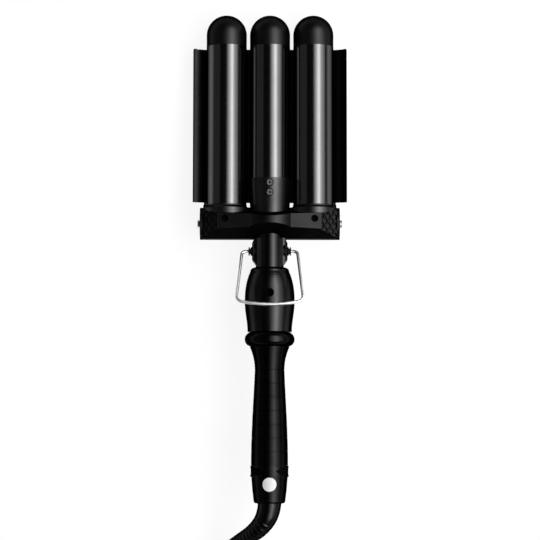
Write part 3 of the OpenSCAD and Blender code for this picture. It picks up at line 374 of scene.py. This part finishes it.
boot_line = through(BOOT_ROUTE, BOOT_STEPS)
boot = loft_tube("boot", [p * MM for p in boot_line], [r * MM for r in boot_radii(boot_line)],
                 M["boot"], "cord", ("strain_relief",))


# ---------------------------------------------------------------- wire stand

PIVOT_Y = 197.0
PAD_HALF, PAD_DEPTH = 13.95, 6    # outer faces of the neck's pads, and how deep the wire's ends sit
STAND_LEN, SHOULDER, FOOT = 47.9, 21.8, 26.6    # pivot to bar, and half widths at both
SHOULDER_BEND, FOOT_BEND, BAR_R = 3.4, 5.0, 105.0
BAR_SKIP = 1.2                    # degrees from the foot bend's end to the bar's next point
BEND_STEPS, BAR_STEPS, WIRE_SIDES = 14, 10, 8
WIRE_R = 1.25
BELLY_D, BELLY_GAP = 39.2, 0.3
STAND_Z = BELLY_D / 2 + WIRE_R + BELLY_GAP      # height of the bar as it rests over the belly


def stand_outline():
    """Half of the wire in its own plane: u across, v away from the pivot."""
    leg = math.atan((FOOT - SHOULDER) / STAND_LEN)
    leg_deg = math.degrees(leg)
    d = Vector((math.sin(leg), math.cos(leg)))
    inward = Vector((-math.cos(leg), math.sin(leg)))
    sx = SHOULDER - SHOULDER_BEND * math.tan((math.pi / 2 - leg) / 2)
    bar = Vector((0, STAND_LEN - BAR_R))
    q = Vector((SHOULDER, 0)) + inward * FOOT_BEND - bar
    b = q.dot(d)
    s = -b + math.sqrt(b * b - q.dot(q) + (BAR_R - FOOT_BEND) ** 2)
    foot = Vector((SHOULDER, 0)) + inward * FOOT_BEND + d * s
    bar_a = math.degrees(math.atan2(foot.y - bar.y, foot.x - bar.x))
    return ([(PAD_HALF - PAD_DEPTH, 0)]
            + arc(sx, SHOULDER_BEND, SHOULDER_BEND, -90, -leg_deg, BEND_STEPS)
            + arc(foot.x, foot.y, FOOT_BEND, -leg_deg, bar_a, BEND_STEPS)
            + arc(bar.x, bar.y, BAR_R, bar_a + BAR_SKIP, 90, BAR_STEPS))


half = stand_outline()
outline = half + [(-u, v) for u, v in reversed(half[:-1])]
rest = math.asin(STAND_Z / STAND_LEN)
wire = [place(u, PIVOT_Y - v * math.cos(rest), v * math.sin(rest)) for u, v in outline]
curve_piece("wire_bail", wire, WIRE_R * MM, M["chrome"], "stand", ("stand_wire",),
            WIRE_SIDES)


# ---------------------------------------------------------------- thin dark pieces: painted shade

FILM = 0.1                        # their thickness, half of it sunk into what carries them


def shade_film_piece(name, verts, faces):
    """Closed black film on the tool's body: painted shade laid in recesses and gaps."""
    obj = mesh_piece(name, verts, faces, M["recess"], "tool", smooth=False)
    thick = obj.modifiers.new("thickness", "SOLIDIFY")
    thick.thickness, thick.offset = FILM * MM, 0.0
    return obj


# painted shade on the floors of the end ring's two recesses, each with an arrow's point in front and
# behind
ARROW_SHADE_R, ARROW_SHADE_Y, ARROW_SHADE_HALF = 14.65, 24.9, 2.85
ARROW_TIP, ARROW_BASE = 4.7, 8.4    # x of the arrow's point and of its full width
POINT_HALF = 0.05
ARROW_SHADE_STEPS = 40


def arrow_recess_shade():
    """Painted shade over both recess floors, each from its front arrow round the side to its rear
    one.
    """
    verts, faces = [], []
    start = math.asin(ARROW_TIP / ARROW_SHADE_R)
    for side in (-1, 1):
        first = len(verts)
        for i in range(ARROW_SHADE_STEPS + 1):
            a = start + (math.pi - 2 * start) * i / ARROW_SHADE_STEPS
            x = ARROW_SHADE_R * math.sin(a)
            widen = min(1, (x - ARROW_TIP) / (ARROW_BASE - ARROW_TIP))
            reach = max(POINT_HALF, ARROW_SHADE_HALF * widen)
            verts += [place(side * x, ARROW_SHADE_Y + k * reach, ARROW_SHADE_R * math.cos(a)) for k in (-1, 1)]
        faces += [(i, i + 1, i + 3, i + 2) for i in range(first, first + 2 * ARROW_SHADE_STEPS, 2)]
    return shade_film_piece("arrow_recess_shade", verts, faces)


arrow_recess_shade()

# painted shade in the middle collar's two screws: a dark rim for the gap round each head and dark
# slot floors
SCREW_YS = (249.7, 241.9)
SCREW_TOP, SLOT_FLOOR = 17.82, 17.12
SCREW_R, RIM = 2.9, 0.6
SLOT_LEN, SLOT_HALF = 1.85, 0.33
SLOT_LAYER = 0.01                 # sets the cross's two bars apart in height
RIM_STEPS = 32


def painted_screw_shade():
    """Painted shade: a dark rim round each head and the two slots of its cross."""
    verts, faces = [], []
    ring = 2 * RIM_STEPS
    for y in SCREW_YS:
        first = len(verts)
        for i in range(RIM_STEPS):
            a = 2 * math.pi * i / RIM_STEPS
            verts += [place(r * math.sin(a), y + r * math.cos(a), SCREW_TOP)
                      for r in (SCREW_R, SCREW_R - RIM)]
        faces += [tuple(first + j % ring for j in (i, i + 1, i + 3, i + 2))
                  for i in range(0, ring, 2)]
        for across, along in ((SLOT_LEN, SLOT_HALF), (SLOT_HALF, SLOT_LEN)):
            first = len(verts)
            verts += [place(u * across, y + v * along, SLOT_FLOOR + SLOT_LAYER * (across > along))
                      for u, v in ((-1, -1), (1, -1), (1, 1), (-1, 1))]
            faces.append(tuple(range(first, first + 4)))
    return shade_film_piece("collar_screw_shade", verts, faces)


painted_screw_shade()


# ---------------------------------------------------------------- floor

FLOOR_HALF = 20                   # metres
FLOOR_COLOR, FLOOR_GLOW = 0.1, 0.9


def floor_material():
    """Grey that keeps shadows, with a glow that only camera, glossy and transmission rays see."""
    m = bpy.data.materials.new("floor")
    m.use_nodes = True
    nt = m.node_tree
    nt.nodes.clear()

    def maths(operation, a, b):
        n = nt.nodes.new("ShaderNodeMath")
        n.operation = operation
        nt.links.new(a, n.inputs[0])
        if isinstance(b, float):
            n.inputs[1].default_value = b
        else:
            nt.links.new(b, n.inputs[1])
        return n.outputs[0]

    diffuse = nt.nodes.new("ShaderNodeBsdfDiffuse")
    diffuse.inputs["Color"].default_value = (FLOOR_COLOR, FLOOR_COLOR, FLOOR_COLOR, 1)
    rays = nt.nodes.new("ShaderNodeLightPath").outputs
    seen = maths("MAXIMUM", rays["Is Camera Ray"], rays["Is Glossy Ray"])
    seen = maths("MAXIMUM", seen, rays["Is Transmission Ray"])
    glow = nt.nodes.new("ShaderNodeEmission")
    glow.inputs["Color"].default_value = (1, 1, 1, 1)
    nt.links.new(maths("MULTIPLY", seen, FLOOR_GLOW), glow.inputs["Strength"])
    add = nt.nodes.new("ShaderNodeAddShader")
    nt.links.new(diffuse.outputs[0], add.inputs[0])
    nt.links.new(glow.outputs[0], add.inputs[1])
    out = nt.nodes.new("ShaderNodeOutputMaterial")
    nt.links.new(add.outputs[0], out.inputs["Surface"])
    return m


floor_mesh = bpy.data.meshes.new("floor")
floor_mesh.from_pydata([(u * FLOOR_HALF, v * FLOOR_HALF, 0)
                        for u, v in ((-1, -1), (1, -1), (1, 1), (-1, 1))], [], [(0, 1, 2, 3)])
floor_mesh.materials.append(floor_material())
floor = show(bpy.data.objects.new("floor", floor_mesh))


# ---------------------------------------------------------------- light

LAMP_CENTRE = Vector((0, 0.02, 0.03))    # metres, what the lamps face
LAMP_LEN, LAMP_FAR, LAYER_GAP = 2.2, 1.2, 0.02
# one large diffuser to the right, brighter towards its middle: (from, to, added radiance)
DIFFUSER = [(2, 70, 1.0), (8, 60, 1.0), (14, 48, 1.4), (20, 42, 1.6), (26, 38, 1.8), (29, 35, 1.2)]
# one dim panel to the left
FILL_ANGLE, FILL_WIDTH, FILL_RADIANCE = -62, 1.05, 0.12


def lamp(name, angle, distance, width, radiance):
    """Soft box along the tool, at an angle from straight up towards +X."""
    data = bpy.data.lights.new(name, "AREA")
    data.shape = "RECTANGLE"
    data.size, data.size_y = width, LAMP_LEN
    data.energy = radiance * math.pi * width * LAMP_LEN
    obj = show(bpy.data.objects.new(name, data))
    a = math.radians(angle)
    obj.location = LAMP_CENTRE + distance * Vector((math.sin(a), 0, math.cos(a)))
    obj.rotation_euler = (0, a, 0)


for i, (a0, a1, radiance) in enumerate(DIFFUSER):
    distance = LAMP_FAR - LAYER_GAP * i
    width = 2 * distance * math.tan(math.radians(a1 - a0) / 2)
    lamp(f"diffuser_{i}", (a0 + a1) / 2, distance, width, radiance)
lamp("fill", FILL_ANGLE, LAMP_FAR, FILL_WIDTH, FILL_RADIANCE)

# world: (height of the view direction, level) just above the horizon and further up
HORIZON, ABOVE = (0.02, 0.8), (0.2, 0.02)

world = bpy.data.worlds.new("studio")
bpy.context.scene.world = world
world.use_nodes = True
wn = world.node_tree
view = wn.nodes.new("ShaderNodeTexCoord")
split = wn.nodes.new("ShaderNodeSeparateXYZ")
shade = wn.nodes.new("ShaderNodeValToRGB")
set_ramp(shade, [(height, (level, level, level, 1)) for height, level in (HORIZON, ABOVE)])
wn.links.new(view.outputs["Generated"], split.inputs[0])
wn.links.new(split.outputs["Z"], shade.inputs["Fac"])
wn.links.new(shade.outputs["Color"], wn.nodes["Background"].inputs["Color"])

bpy.context.scene.view_settings.view_transform = "Standard"
